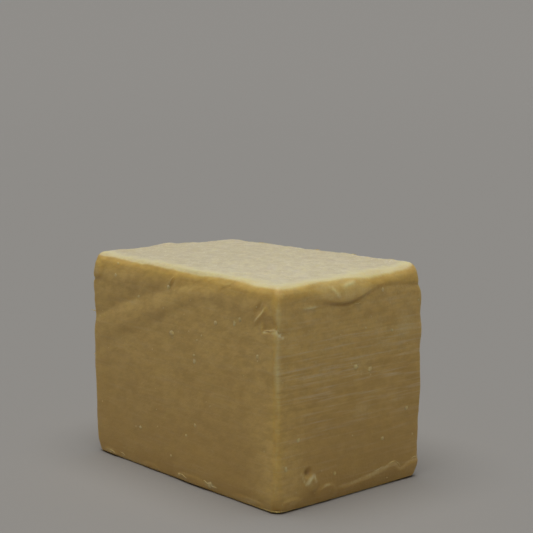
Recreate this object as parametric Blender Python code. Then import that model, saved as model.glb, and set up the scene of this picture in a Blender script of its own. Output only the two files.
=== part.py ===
"""A block of sharp cheddar cut from a loaf by hand: one solid that stands on its flat base.

+X runs along the block, +Z is up. -Y is the long face with the fold, and +X is the end face
with the rolled lip. Lengths are millimetres until the mesh is written, which is in metres.
"""

import bmesh
import bpy
import numpy as np

METRES = 0.001

# The block before its edges are worn, and where it is cut into strips for the relief.
LENGTH, DEPTH, HEIGHT = 121.4, 80.0, 89.0
EDGE_STRIPS = (0.9, 2.0, 3.6)
BASE_STRIPS = (0.7, 1.8)
STRIPS_ALONG, STRIPS_ACROSS = 32, 21
HEIGHT_ZONES = ((1.8, 11.0, 4), (11.0, 56.0, 10), (56.0, 76.0, 8), (76.0, 85.4, 6))

# How far each kind of edge is rounded: the front rim by place along X, the others all along.
UPRIGHT_ROUND = 1.6
BASE_ROUND = 1.2
FRONT_RIM_ROUND = ((-60, 6.0), (-52, 3.6), (-37, 2.9), (0, 2.2), (30, 1.6), (50, 2.3), (60, 3.2))
END_RIM_ROUND, BACK_RIM_ROUND, LEFT_RIM_ROUND = 3.6, 2.2, 2.8
TOP_ROUND_STARTS, TOP_ROUND_FULL = 14.0, 6.0

# Foot corners that are worn rounder: side of X, side of Y, extra rounding, height it fades over.
WORN_FEET = ((1, -1, 3.2, 8.0), (-1, -1, 2.5, 4.0))
WORN_FOOT_REACH = 15.0

# The top isn't quite level: height of each corner against HEIGHT, by side of X and side of Y.
TOP_CORNERS = ((-1, -1, 0.0), (1, -1, -0.3), (1, 1, 0.7), (-1, 1, 0.1))
# What the rims stand above that: along Y on the left, along X on the back and on the front.
LEFT_RIM_RISE = (
    (-38, 0.3),
    (-32, 0.95),
    (-24, 0.35),
    (-10, 0.75),
    (-1, 1.5),
    (8, 0.55),
    (22, 0.05),
    (37, 0.0),
)
BACK_RIM_RISE = ((-60, -0.3), (-40, -0.15), (-8, 0.6), (17, 0.75), (30, 0.4), (51, 1.1), (58, 1.3))
FRONT_RIM_RISE = ((0, 0.0), (22, 0.5), (45, 0.0))
RIM_RISE_REACH = 6.0

# Two upright edges sway: height, how far out, with the direction that out is.
BACK_SWAY = ((0, 0.1), (20, 0.4), (45, 1.0), (62, 1.35), (69, 0.45), (76, 1.25), (83, -0.2))
BACK_SWAY_WAY = (0.66, 0.75)
LEFT_SWAY = ((0, 0.0), (20, 0.5), (45, 1.1), (70, 0.6), (82, 0.3))
LEFT_SWAY_WAY = (-0.9, -0.4)
SWAY_REACH = 9.0

# The fold on the long face: its line, X and height, and how deep the hollow above it is along X.
FOLD_LINE = ((-61, 60.2), (-53, 64.2), (-37, 70.8), (-17, 77.1), (3, 82.4), (19, 85.8), (39, 88))
FOLD_DEPTH = ((-61, 1.0), (-30, 1.15), (0, 1.0), (22, 0.7), (40, 0.15), (50, 0.0))
FOLD_SLOPE, FOLD_FADE = 3.8, 9.0
# The softer terrace below it, and the roll of the rim that hangs over it.
TERRACE_LINE = ((-61, 48), (-49, 53.9), (-35, 59.4), (-19, 65.3), (-7, 71.2), (15, 79), (43, 81))
TERRACE_DROP = ((-55, 0.2), (-35, 0.45), (0, 0.6), (30, 0.5), (45, 0.2), (56, 0.0))
TERRACE_SLOPE, TERRACE_FADE = 4.0, 22.0
ROLL_LINE = ((-60, 86.0), (-44, 86.6), (-19, 87.9), (2, 87.6), (30, 88.4), (52, 87.6))
ROLL_OUT = ((-60, 0.3), (-54, 0.8), (-40, 0.8), (0, 0.5), (30, 0.3), (52, 0.5))
ROLL_WIDTH = 1.7
# A knob at the top left corner and a torn hollow by the near edge: X, height, two radii, height.
KNOB = (-58.2, 82.0, 5.2, 4.6, 0.9)
KNOB_STARTS = (-60.6, -58.0)
TEAR = (56.3, 76.4, 4.8, 4.6, -1.1)
DISC_EDGE = 0.4

# The rolled lip on the end face: its lower border, how proud it stands and how blunt its border is.
LIP_LINE = (
    (-40, 85.2),
    (-30.6, 83.8),
    (-21.2, 81.2),
    (-12.2, 79.5),
    (-2, 78.6),
    (7.7, 80.8),
    (16.2, 83.1),
    (27, 83.1),
    (38, 81.8),
)
LIP_OUT = ((-40, 0.3), (-34, 0.7), (-25, 1.1), (-12, 1.9), (-4, 2.1), (4, 1.8), (14, 1.1), (40, 0.3))
LIP_BLUNT = ((-40, 4.0), (-25, 3.2), (-12, 1.6), (0, 1.2), (40, 1.5))
LIP_BACK = (9.0, 1.5)
# The net's strips bend to run along the lip's border: the level that bends, and its reach.
BEND_LEVEL, BEND_DOWN, BEND_UP, BEND_BACK = 81.4, 14.0, 7.6, 10.0
# The skirt pressed out along the end's foot: its upper border and how proud it stands.
SKIRT_LINE = ((-20, 1.5), (-6, 3.6), (7, 4.5), (13, 5.0), (21.7, 7.8), (26, 7.8), (30, 4.3), (39, 5))
SKIRT_OUT, SKIRT_BLUNT = 0.5, 1.0
SKIRT_STARTS = (-24.0, -8.0)
# A pit above the foot and the smear below it: Y, height, two radii, height.
PIT = (-24.0, 14.1, 2.6, 2.6, -1.2)
SMEAR = (-12.0, 3.6, 6.0, 4.0, 0.5)

# Long, low waves that a blade leaves: how high, and the wave along each face and up it.
WAVE_HIGH = 0.22
WAVE_ALONG, WAVE_UP, WAVE_SLANT = 17.0, 23.0, 9.0

CHEESE_COLOUR = (0.70, 0.50, 0.22, 1.0)
CHEESE_ROUGHNESS = 0.45
SMOOTH_ANGLE = np.radians(40)


def ease(value, low, high):
    """0 below low, 1 above high, and a smooth S between them."""
    t = np.clip((value - low) / (high - low), 0, 1)
    return t * t * (3 - 2 * t)


def through(points, at):
    """Height, at each place, of a smooth line through (place, height) points, level past its ends."""
    place, height = np.array(points, float).T
    slope = np.gradient(height, place)
    at = np.clip(at, place[0], place[-1])
    k = np.clip(np.searchsorted(place, at) - 1, 0, len(place) - 2)
    step = place[k + 1] - place[k]
    t = (at - place[k]) / step
    from_left = (1 + 2 * t) * (1 - t) ** 2 * height[k] + t * (1 - t) ** 2 * step * slope[k]
    from_right = t * t * (3 - 2 * t) * height[k + 1] - t * t * (1 - t) * step * slope[k + 1]
    return from_left + from_right


def disc(across, up, shape):
    """A flat-topped disc with a soft edge: its height at each point of a face."""
    centre, centre_up, radius, radius_up, height = shape
    distance = np.hypot((across - centre) / radius, (up - centre_up) / radius_up)
    return height * ease(1 - distance, 0, DISC_EDGE)


def wave(across, up):
    """Two slanting sines, as low waves along and up a face."""
    first = np.sin(across / WAVE_ALONG + 1) * np.sin(up / WAVE_UP + 2)
    return WAVE_HIGH * (first + 0.6 * np.sin((across + up) / WAVE_SLANT))


def strip_lines():
    """Where the block is cut along X, along Y and up Z, closest where its edges are rounded."""
    edge = np.array(EDGE_STRIPS)
    half_x, half_y = LENGTH / 2, DEPTH / 2
    along = np.linspace(edge[-1] - half_x, half_x - edge[-1], STRIPS_ALONG + 1)[1:-1]
    across = np.linspace(edge[-1] - half_y, half_y - edge[-1], STRIPS_ACROSS + 1)[1:-1]
    zones = [np.linspace(low, high, count, endpoint=False) for low, high, count in HEIGHT_ZONES]
    lines_x = np.concatenate([edge - half_x, along, half_x - edge])
    lines_y = np.concatenate([edge - half_y, across, half_y - edge])
    lines_z = np.concatenate([BASE_STRIPS[:1], *zones, HEIGHT - edge])
    return lines_x, lines_y, lines_z


def plain_block():
    """A box in millimetres, its faces cut into a net by a plane at every strip line."""
    block = bmesh.new()
    bmesh.ops.create_cube(block, size=1.0)
    bmesh.ops.translate(block, verts=block.verts, vec=(0, 0, 0.5))
    bmesh.ops.scale(block, verts=block.verts, vec=(LENGTH, DEPTH, HEIGHT))
    for axis, lines in enumerate(strip_lines()):
        across_axis = [float(axis == k) for k in range(3)]
        for line in lines:
            bmesh.ops.bisect_plane(
                block,
                geom=[*block.verts, *block.edges, *block.faces],
                plane_co=[line * part for part in across_axis],
                plane_no=across_axis,
            )
    return block


def bent_net(points):
    """The net with its strips on the end face slid up or down to lie along the lip's border."""
    x, y, z = points.T
    below = ease(z, BEND_LEVEL - BEND_DOWN, BEND_LEVEL)
    above = 1 - ease(z, BEND_LEVEL, BEND_LEVEL + BEND_UP)
    slide = (through(LIP_LINE, y) - BEND_LEVEL) * below * above
    slide *= ease(x, LENGTH / 2 - BEND_BACK, LENGTH / 2)
    return np.stack([x, y, z + slide], axis=1)


def rounding(x, y, z):
    """Reach of the rounding along X, Y and Z: each rim's own near the top, and the worn feet."""
    sides = np.stack([-y / DEPTH, y / DEPTH, x / LENGTH, -x / LENGTH]) + 0.5
    nearness = sides**8
    rims = [through(FRONT_RIM_ROUND, x), BACK_RIM_ROUND, END_RIM_ROUND, LEFT_RIM_ROUND]
    rim = sum(near * size for near, size in zip(nearness, rims)) / nearness.sum(axis=0)
    at_top = ease(z, HEIGHT - TOP_ROUND_STARTS, HEIGHT - TOP_ROUND_FULL)
    upright = UPRIGHT_ROUND + (rim - UPRIGHT_ROUND) * at_top
    plan = upright.copy()
    for side_x, side_y, extra, high in WORN_FEET:
        from_edge = np.hypot(side_x * LENGTH / 2 - x, side_y * DEPTH / 2 - y)
        plan += extra * np.exp(-((from_edge / WORN_FOOT_REACH) ** 2) - (z / high) ** 2)
    return np.stack([plan, plan, np.where(z < HEIGHT / 2, BASE_ROUND, upright)], axis=1)


def rounded(points):
    """The box's points drawn in onto its rounded form, with the way out at each.

    A box inside the block, held back by the rounding, is the core. Each point goes to its
    nearest place on the core plus one rounding, in the direction of the point it came from.
    """
    half = np.array([LENGTH, DEPTH, HEIGHT]) / 2
    middle = np.array([0, 0, HEIGHT / 2])
    reach = rounding(*points.T)
    core = np.clip(points - middle, reach - half, half - reach)
    out = (points - middle - core) / reach
    out /= np.linalg.norm(out, axis=1, keepdims=True)
    way_out = out / reach
    way_out /= np.linalg.norm(way_out, axis=1, keepdims=True)
    return middle + core + reach * out, way_out


def long_face(x, z):
    """Height of the long face: hollow above the fold, terrace, rim's roll, knob and torn hollow."""
    above_fold = z - through(FOLD_LINE, x)
    below = ease(above_fold, -FOLD_SLOPE, 0)
    above = np.exp(-np.maximum(above_fold, 0) / FOLD_FADE)
    hollow = -through(FOLD_DEPTH, x) * below * above
    from_terrace = z - through(TERRACE_LINE, x)
    dropped = 1 - ease(from_terrace, -TERRACE_SLOPE, TERRACE_SLOPE)
    regained = np.exp(-np.maximum(-from_terrace - TERRACE_SLOPE, 0) / TERRACE_FADE)
    terrace = -through(TERRACE_DROP, x) * dropped * regained
    from_roll = (z - through(ROLL_LINE, x)) / ROLL_WIDTH
    roll = through(ROLL_OUT, x) * np.exp(-(from_roll**2))
    knob = disc(x, z, KNOB) * ease(x, *KNOB_STARTS)
    return hollow + terrace + roll + knob + disc(x, z, TEAR)


def end_face(y, z):
    """Height of the end face below its lip: the skirt along the foot, a pit and a smear."""
    above_skirt = z - through(SKIRT_LINE, y)
    skirt = SKIRT_OUT * (1 - ease(above_skirt, -SKIRT_BLUNT, 0)) * ease(y, *SKIRT_STARTS)
    return skirt + disc(y, z, PIT) + disc(y, z, SMEAR)


def lip_shift(x, y, z):
    """How far along +X the lip carries a point: all of it above the border, none below."""
    blunt = through(LIP_BLUNT, y)
    border = through(LIP_LINE, y)
    near_end = ease(x, LENGTH / 2 - LIP_BACK[0], LENGTH / 2 - LIP_BACK[1])
    return through(LIP_OUT, y) * ease(z, border - blunt / 2, border + blunt / 2) * near_end


def top_rise(x, y, z):
    """How far a point is lifted: its share of the four corners' heights, and the rims' rises."""
    rise = np.zeros_like(z)
    for side_x, side_y, high in TOP_CORNERS:
        rise += high * (0.5 + side_x * x / LENGTH) * (0.5 + side_y * y / DEPTH) * z / HEIGHT
    at_top = ease(z, HEIGHT - 9, HEIGHT - 2)
    rims = (
        (LENGTH / 2 + x, through(LEFT_RIM_RISE, y)),
        (DEPTH / 2 - y, through(BACK_RIM_RISE, x)),
        (DEPTH / 2 + y, through(FRONT_RIM_RISE, x)),
    )
    for from_rim, high in rims:
        rise += high * np.exp(-((from_rim / RIM_RISE_REACH) ** 2)) * at_top
    return rise


def edge_sway(x, y, z, corner, way, profile):
    """The sideways shift, as X, Y and Z, of what lies near one upright edge."""
    from_edge = np.hypot(corner[0] * LENGTH / 2 - x, corner[1] * DEPTH / 2 - y)
    out = through(profile, z) * np.exp(-((from_edge / SWAY_REACH) ** 2))
    return np.stack([way[0] * out, way[1] * out, np.zeros_like(out)], axis=1)


def worn_block(points):
    """Every point of the plain box moved to its place on the finished cheese."""
    points, way_out = rounded(bent_net(points))
    x, y, z = points.T
    facing = {side: ease(amount, 0.25, 0.85) for side, amount in (
        ("front", -way_out[:, 1]), ("back", way_out[:, 1]),
        ("end", way_out[:, 0]), ("left", -way_out[:, 0]), ("top", way_out[:, 2]),
    )}
    height = facing["front"] * (long_face(x, z) + wave(x, z))
    height += facing["end"] * (end_face(y, z) + wave(y + 31, z))
    height += facing["back"] * wave(x + 47, z) + facing["left"] * wave(y + 73, z)
    height += facing["top"] * wave(x + 11, y)
    level_out = way_out * (1, 1, 0) + np.maximum(way_out, 0) * (0, 0, 1)
    shift = level_out * height[:, None]
    shift[:, 0] += lip_shift(x, y, z)
    shift[:, 2] += top_rise(x, y, z)
    shift += edge_sway(x, y, z, (1, 1), BACK_SWAY_WAY, BACK_SWAY)
    shift += edge_sway(x, y, z, (-1, -1), LEFT_SWAY_WAY, LEFT_SWAY)
    return points + shift


def cheese_material():
    material = bpy.data.materials.new("cheddar")
    material.use_nodes = True
    material.diffuse_color = CHEESE_COLOUR
    shader = material.node_tree.nodes["Principled BSDF"]
    shader.inputs["Base Color"].default_value = CHEESE_COLOUR
    shader.inputs["Roughness"].default_value = CHEESE_ROUGHNESS
    shader.inputs["Metallic"].default_value = 0.0
    return material


def cheddar_block():
    """The block as one object, with its origin on the base below the middle of its box."""
    block = plain_block()
    points = worn_block(np.array([vertex.co for vertex in block.verts], float))
    middle = (points.min(axis=0) + points.max(axis=0)) / 2
    points -= middle * (1, 1, 0)
    for vertex, place in zip(block.verts, points * METRES):
        vertex.co = place
    mesh = bpy.data.meshes.new("cheddar_block")
    block.to_mesh(mesh)
    block.free()
    mesh.shade_smooth()
    mesh.set_sharp_from_angle(angle=SMOOTH_ANGLE)
    mesh.materials.append(cheese_material())
    cheese = bpy.data.objects.new("cheddar_block", mesh)
    bpy.context.scene.collection.objects.link(cheese)
    return cheese


for old in list(bpy.data.objects):
    bpy.data.objects.remove(old, do_unlink=True)
cheddar_block()
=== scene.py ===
"""Looks of a hand-cut block of sharp cheddar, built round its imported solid.

The shape functions work in millimetres, in a frame whose origin is below the middle of the
plain, uncut block. +X runs along the block and +Z is up. -Y is the long face with the fold
and +X the end face with the rolled lip. The meshes and the camera are in metres.
"""

import bpy
import numpy as np
from mathutils import Matrix, Vector


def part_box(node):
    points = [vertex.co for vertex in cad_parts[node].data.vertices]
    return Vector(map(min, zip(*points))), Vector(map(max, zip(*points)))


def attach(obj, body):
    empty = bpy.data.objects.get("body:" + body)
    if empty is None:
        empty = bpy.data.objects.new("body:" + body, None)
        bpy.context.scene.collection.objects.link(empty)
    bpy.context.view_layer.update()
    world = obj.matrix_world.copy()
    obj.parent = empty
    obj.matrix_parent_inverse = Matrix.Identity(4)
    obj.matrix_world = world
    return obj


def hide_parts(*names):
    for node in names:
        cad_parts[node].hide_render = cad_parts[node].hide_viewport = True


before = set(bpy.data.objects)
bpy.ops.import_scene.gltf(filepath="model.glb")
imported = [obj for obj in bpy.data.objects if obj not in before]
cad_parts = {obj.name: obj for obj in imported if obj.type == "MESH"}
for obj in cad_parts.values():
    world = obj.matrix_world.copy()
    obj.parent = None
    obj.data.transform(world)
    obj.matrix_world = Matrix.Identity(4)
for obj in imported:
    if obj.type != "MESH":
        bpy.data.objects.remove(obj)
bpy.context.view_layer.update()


# The block. Firm, waxy cheese cut by hand from a bigger loaf: the blade dragged a fold
# across the long face, rolled a lip over the end and pressed a skirt out along its foot.
# The rims are worn round, and the base is flat.

METRES = 0.001
cad_low, cad_high = (np.array(corner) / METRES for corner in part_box("cheddar_block"))
# How far the relief makes the finished block stand proud of the plain one.
RELIEF_PROUD = np.array([3.0, 1.95, 1.65])
LENGTH, DEPTH, HEIGHT = cad_high - cad_low - RELIEF_PROUD

# The upright edges' radius, how uneven it is, and the two wavelengths of that.
UPRIGHT_ROUND, UPRIGHT_UNEVEN, UPRIGHT_WAVES = 2.3, 0.5, (4.7, 9.1)
BASE_ROUND = 1.2
FRONT_RIM_ROUND = ((-60, 4.2), (-52, 3.8), (-37, 3.6), (0, 3.4), (30, 3.3), (50, 3.5), (60, 3.6))
END_RIM_ROUND = ((-40, 3.2), (0, 3.2), (8, 4.2), (38, 4.2))
BACK_RIM_ROUND, LEFT_RIM_ROUND = 2.4, 3.2
# How deep down each face its rim's rounding goes (long face, back, end, left), and the power
# by which one rim's rounding gives way to the next round a corner.
RIMS_DEEP, RIMS_MEET = (3.5, 2.6, 5.5, 3.6), 8
TOP_ROUND_STARTS, TOP_ROUND_FULL = 14.0, 6.0
# Foot corners worn rounder: side of X, side of Y, extra rounding, height it fades over.
WORN_FEET = ((1, -1, 3.2, 8.0), (-1, -1, 2.5, 4.0), (1, 1, 2.8, 4.0))
WORN_FOOT_REACH = 15.0

# The top's corners against HEIGHT, by side of X and of Y, and what the rims stand above that.
TOP_CORNERS = ((-1, -1, 0.4), (1, -1, -0.3), (1, 1, 0.9), (-1, 1, 0.2))
LEFT_RIM_RISE = (
    (-38, 0.8),
    (-32, 1.1),
    (-24, 0.9),
    (-14, 1.2),
    (-9, 1.3),
    (-4, 1.9),
    (0, 1.6),
    (5, 0.85),
    (10, 0.5),
    (22, 0.05),
    (37, 0.0),
)
BACK_RIM_RISE = (
    (-60, -0.5),
    (-40, -0.3),
    (-8, 0.4),
    (17, 0.7),
    (30, 0.5),
    (45, 1.1),
    (54, 1.5),
    (60, 1.6),
)
FRONT_RIM_RISE = ((0, 0.0), (22, 0.5), (45, 0.0))
# How far in from its rim a rise reaches, and how far below the top it starts and is full.
RIM_RISE_REACH, RIM_RISE_STARTS, RIM_RISE_FULL = 6.0, 9.0, 2.0

# Two upright edges sway: height, how far out, with the direction that out is.
BACK_SWAY = (
    (0, 0.1),
    (20, 0.3),
    (40, 1.1),
    (50, 0.8),
    (56, 0.6),
    (61.5, 1.1),
    (69, 0.45),
    (76, 0.95),
    (83, -0.05),
    (86, -0.5),
    (89, -1.4),
)
BACK_SWAY_WAY = (0.66, 0.75)
LEFT_SWAY = ((0, 0.1), (20, 0.7), (45, 1.3), (70, 0.85), (82, 0.8), (85.5, 0.3), (88, 0.7))
LEFT_SWAY_WAY = (-0.9, -0.4)
SWAY_REACH = 9.0

# The fold on the long face: its line, the hollow above it and the softer terrace below it.
# Lines are X and height, the rest is X and depth.
FOLD_LINE = ((-61, 60.2), (-53, 64.2), (-37, 70.8), (-17, 77.1), (3, 82.4), (19, 85.8), (39, 88))
FOLD_DEPTH = ((-61, 1.15), (-30, 1.3), (0, 1.0), (22, 0.5), (40, 0.15), (50, 0.0))
FOLD_WIDE, FOLD_FADE, FOLD_SOFT = 8.5, 10.0, 0.5
TERRACE_LINE = ((-61, 48), (-49, 53.9), (-35, 59.4), (-19, 65.3), (-7, 71.2), (15, 79), (43, 81))
TERRACE_DROP = ((-55, 0.4), (-35, 0.65), (0, 0.75), (30, 0.5), (45, 0.2), (56, 0.0))
TERRACE_SLOPE, TERRACE_FADE = 3.0, 24.0
# Two faces lean in ever more towards their rims: how far at the rim, and from how far below.
LONG_LEAN = (
    (-60, 1.0),
    (-47, 2.3),
    (-37, 3.1),
    (-27, 2.4),
    (-15, 2.1),
    (-3, 2.8),
    (9, 2.3),
    (22, 2.9),
    (32, 2.1),
    (60, 1.6),
)
END_LEAN = ((-40, 0.7), (-22, 0.9), (-13, 1.7), (-3, 2.2), (6, 2.0), (16, 1.5), (40, 1.5))
LONG_LEAN_DOWN = END_LEAN_DOWN = 9.5
LEAN_POWER, LEAN_REACH = 1.6, 14.0
# The faces bulge a little in their middle.
BULGE = 0.9

# Discs are across, up, two radii, height and how soft the edge is. Strokes are a start and
# an end, half the width, and the height: a groove if it is below 0.
KNOB = (-58.2, 82.0, 5.2, 4.6, 0.7, 0.45)
KNOB_STARTS = (-60.6, -58.0)
LONG_FACE_DISCS = (
    (51.6, 79.4, 3.6, 3.4, -0.45, 0.9),
    (-60.4, 43.6, 1.3, 1.0, -0.8, 0.6),
    (-4.4, 60.0, 1.0, 0.9, -0.5, 0.9),
    (10.2, 54.3, 0.9, 0.7, -0.4, 0.9),
    (-40.2, 60.2, 1.1, 0.8, -0.4, 0.9),
    (-50, 1.6, 6.0, 1.8, 0.3, 0.4),
    (-20, 1.2, 7.0, 2.2, 0.25, 0.4),
    (8, 2.0, 12.0, 2.6, 0.3, 0.3),
    (44, 1.6, 10.0, 2.2, 0.3, 0.3),
)
LONG_FACE_STROKES = (
    (54.6, 80.6, 51.0, 76.6, 0.8, 0.7),
    (51.6, 77.4, 48.4, 74.2, 0.7, 0.6),
    (52.2, 83.2, 48.4, 77.8, 0.9, -0.3),
    (51.4, 74.9, 49.4, 73.3, 0.8, -0.3),
    (56.4, 77.4, 58.8, 74.0, 1.2, -0.5),
    (55.8, 82.2, 57.2, 78.4, 0.8, -0.25),
    (-53.0, 84.2, -53.2, 79.6, 1.0, -0.25),
    (-53.6, 79.0, -59.0, 77.2, 1.0, -0.3),
    (-6.9, 81.4, -4.9, 85.2, 0.55, 0.6),
    (-5.5, 80.6, -3.4, 84.6, 0.7, -0.2),
    (27.6, 85.2, 32.4, 87.2, 0.5, 0.2),
    (27.2, 84.0, 32.6, 86.0, 0.5, -0.15),
    (41.4, 69.2, 35.6, 61.0, 0.5, 0.14),
    (35.6, 61.0, 30.4, 56.0, 0.5, 0.14),
    (-49, 47.5, -38, 50.5, 0.6, 0.12),
)
# Torn cuts: the cheese drops above a line and fades back over a reach: start, end, reach, drop.
LONG_FACE_TEARS = ((52.6, 71.6, 60.7, 72.9, 2.6, 1.7), (-55.5, 78.4, -60.7, 76.6, 1.8, 0.5))
END_FACE_TEARS = ((-40.7, 72.6, -36.2, 69.6, 1.6, 1.0),)
TEAR_EDGE = 0.5

# The rolled lip on the end face: its lower border, how far out it stands, how blunt the border
# is, and how deep the crease under it is cut.
LIP_LINE = (
    (-40, 85.2),
    (-30.6, 83.8),
    (-21.2, 81.2),
    (-12.2, 80.2),
    (-2, 79.4),
    (7.7, 81.4),
    (16.2, 83.4),
    (27, 83.1),
    (38, 81.8),
)
LIP_OUT = ((-40, 0.1), (-22, 0.3), (-15, 0.5), (-4, 0.75), (4, 0.6), (14, 0.4), (25, 0.3), (34, 0.4))
LIP_BLUNT = (
    (-40, 7),
    (-24, 6),
    (-17, 3),
    (-13, 1.5),
    (-8, 1),
    (3, 1),
    (9, 2),
    (16, 3.2),
    (30, 3),
    (38, 2),
)
LIP_CREASE = ((-17, 0.0), (-12, 0.15), (-8, 0.4), (0, 0.4), (4, 0.2), (16, 0.1), (28, 0.12), (36, 0.2))
CREASE_WIDTH = 0.8
# How far back from the end the lip starts and is full, and its share that is lost on the way up
# to the rim, from how far above its border.
LIP_BACK, LIP_TAPER, LIP_TAPER_FROM = (9.0, 1.5), 0.8, 1.0
# The level of the net that is bent along the lip's border, and how far down, up and back.
BEND_LEVEL, BEND_DOWN, BEND_UP, BEND_BACK = 81.4, 14.0, 7.6, 10.0

# The skirt pressed out along the end's foot: its upper rim, how far out, how blunt, and where
# it starts. After it come the pit with the torn flake below it, smears, dents and scratches.
SKIRT_LINE = (
    (-20, 4),
    (-7, 6.2),
    (0, 6.0),
    (7, 6.8),
    (13, 7.6),
    (19, 8.6),
    (25, 9.6),
    (29, 6.6),
    (33, 8),
    (39, 9),
)
SKIRT_OUT, SKIRT_BLUNT = 0.55, 2.4
SKIRT_STARTS = (-13.0, -3.0)
END_FACE_DISCS = (
    (-24.2, 14.4, 2.2, 2.6, -1.5, 0.9),
    (-13.5, 3.8, 6.2, 4.4, 0.42, 0.3),
    (-21.6, 9.0, 3.2, 4.0, 0.5, 0.5),
    (-32, 3.2, 6.5, 2.6, 0.35, 0.35),
    (-33.6, 17.4, 2.2, 1.5, -0.25, 0.8),
    (9.6, 52.2, 0.9, 0.9, -0.5, 0.8),
)
END_FACE_STROKES = (
    (-25.6, 78.4, -15.0, 78.0, 0.6, -0.14),
    (-26.2, 79.5, -19.5, 79.3, 0.5, 0.3),
    (-10.6, 86.0, -7.0, 81.6, 0.7, 0.35),
    (-4.8, 85.4, 3.0, 86.8, 0.7, 0.3),
    (-28.0, 15.4, -25.4, 10.2, 0.6, 0.2),
    (-25.6, 8.8, -21.0, 13.2, 0.9, 0.28),
    (-21.0, 13.4, -19.4, 9.4, 0.7, 0.2),
    (9.0, 53.6, 7.4, 52.0, 0.4, -0.35),
    (7.6, 73.6, 11.2, 70.8, 0.45, -0.25),
    (19.1, 67.4, 20.2, 63.0, 0.4, -0.25),
)

# The faces tuck in towards their foot: how far, along X or Y, and from how high up.
LONG_TUCK = ((-60, 0.35), (0, 0.3), (30, 0.5), (46, 0.9), (60, 1.2))
END_TUCK = ((-40, 1.2), (24, 1.2), (40, 0.8))
TUCK_HIGH = 9.0

# Long, low waves from the blade, and the finer unevenness: size across, height, seed.
WAVE_HIGH, WAVE_SLANT_SHARE = 0.22, 0.6
WAVE_ALONG, WAVE_UP, WAVE_SLANT = 17.0, 23.0, 9.0
GRAIN_NET = 64
SIDE_GRAINS = ((11.0, 0.12, 1), (4.3, 0.07, 2), (1.9, 0.035, 3))
TOP_GRAINS = ((9.0, 0.2, 4), (3.6, 0.18, 5), (1.7, 0.1, 6))
RIM_GRAINS, RIM_GRAINS_FROM = ((7.0, 0.28, 7), (2.6, 0.13, 8)), (3, 12)
# The faces take their waves and their grain from other places, so that no two are alike.
END_WAVES, BACK_WAVES, LEFT_WAVES, TOP_WAVES = 31, 47, 73, 11
END_GRAIN, BACK_GRAIN, LEFT_GRAIN = 200, 400, 600
# How far out along its own axis the surface points where a face's relief starts and is full.
FACING = (0.25, 0.85)


def ease(value, low, high):
    """0 below low, 1 above high, and 3t^2 - 2t^3 between them, with t the share of the way."""
    t = np.clip((value - low) / (high - low), 0, 1)
    return t * t * (3 - 2 * t)


def through(points, at):
    """The height of a cubic through (place, height) points, level past both ends.

    Between two points it is Hermite's cubic: each end's height and slope, weighted by how near
    it is, with the slope at a point taken from its two neighbours.
    """
    place, height = np.array(points, float).T
    slope = np.gradient(height, place)
    at = np.clip(at, place[0], place[-1])
    k = np.clip(np.searchsorted(place, at) - 1, 0, len(place) - 2)
    step = place[k + 1] - place[k]
    t = (at - place[k]) / step
    from_left = (1 + 2 * t) * (1 - t) ** 2 * height[k] + t * (1 - t) ** 2 * step * slope[k]
    from_right = t * t * (3 - 2 * t) * height[k + 1] - t * t * (1 - t) * step * slope[k + 1]
    return from_left + from_right


def disc(across, up, shape):
    """A flat-topped oval: its full height inside, and eased to 0 over its soft share."""
    centre, centre_up, radius, radius_up, height, soft = shape
    distance = np.hypot((across - centre) / radius, (up - centre_up) / radius_up)
    return height * ease(1 - distance, 0, soft)


def stroke(across, up, shape):
    """A straight ridge or groove: height times a bell of the distance off it, tapered at its ends."""
    start, start_up, end, end_up, width, height = shape
    run, rise = end - start, end_up - start_up
    length = np.hypot(run, rise)
    along = ((across - start) * run + (up - start_up) * rise) / length
    off = ((across - start) * rise - (up - start_up) * run) / length
    taper = ease(along, -width, 2 * width) * (1 - ease(along, length - 2 * width, length + width))
    return height * taper * np.exp(-((off / width) ** 2))


def tear(across, up, shape):
    """A torn cut: a sheer drop just above its line, fading as exp(-distance / reach) and tapered."""
    start, start_up, end, end_up, reach, drop = shape
    run, rise = end - start, end_up - start_up
    length = np.hypot(run, rise)
    along = ((across - start) * run + (up - start_up) * rise) / length
    above = ((up - start_up) * run - (across - start) * rise) / length * np.sign(run)
    taper = ease(along, 0, 2 * TEAR_EDGE) * (1 - ease(along, length - TEAR_EDGE, length + TEAR_EDGE))
    return -drop * taper * ease(above, 0, TEAR_EDGE) * np.exp(-np.maximum(above, 0) / reach)


def wave(across, up):
    """Low waves: a product of two sines, plus a slanting third."""
    first = np.sin(across / WAVE_ALONG + 1) * np.sin(up / WAVE_UP + 2)
    return WAVE_HIGH * (first + WAVE_SLANT_SHARE * np.sin((across + up) / WAVE_SLANT))


def grain(across, up, grains):
    """Unevenness: for each size, seeded random heights on a turned square net, eased between."""
    total = np.zeros_like(across)
    for size, high, seed in grains:
        table = np.random.default_rng(seed).uniform(-high, high, (GRAIN_NET, GRAIN_NET))
        turn = 0.5 + seed / 3
        u = (across * np.cos(turn) + up * np.sin(turn)) / size
        v = (up * np.cos(turn) - across * np.sin(turn)) / size
        i, j = np.floor(u).astype(int), np.floor(v).astype(int)
        s, t = ease(u - i, 0, 1), ease(v - j, 0, 1)
        i, i_next = i % GRAIN_NET, (i + 1) % GRAIN_NET
        j, j_next = j % GRAIN_NET, (j + 1) % GRAIN_NET
        near = table[i, j] * (1 - s) + table[i_next, j] * s
        far = table[i, j_next] * (1 - s) + table[i_next, j_next] * s
        total += near * (1 - t) + far * t
    return total


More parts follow.
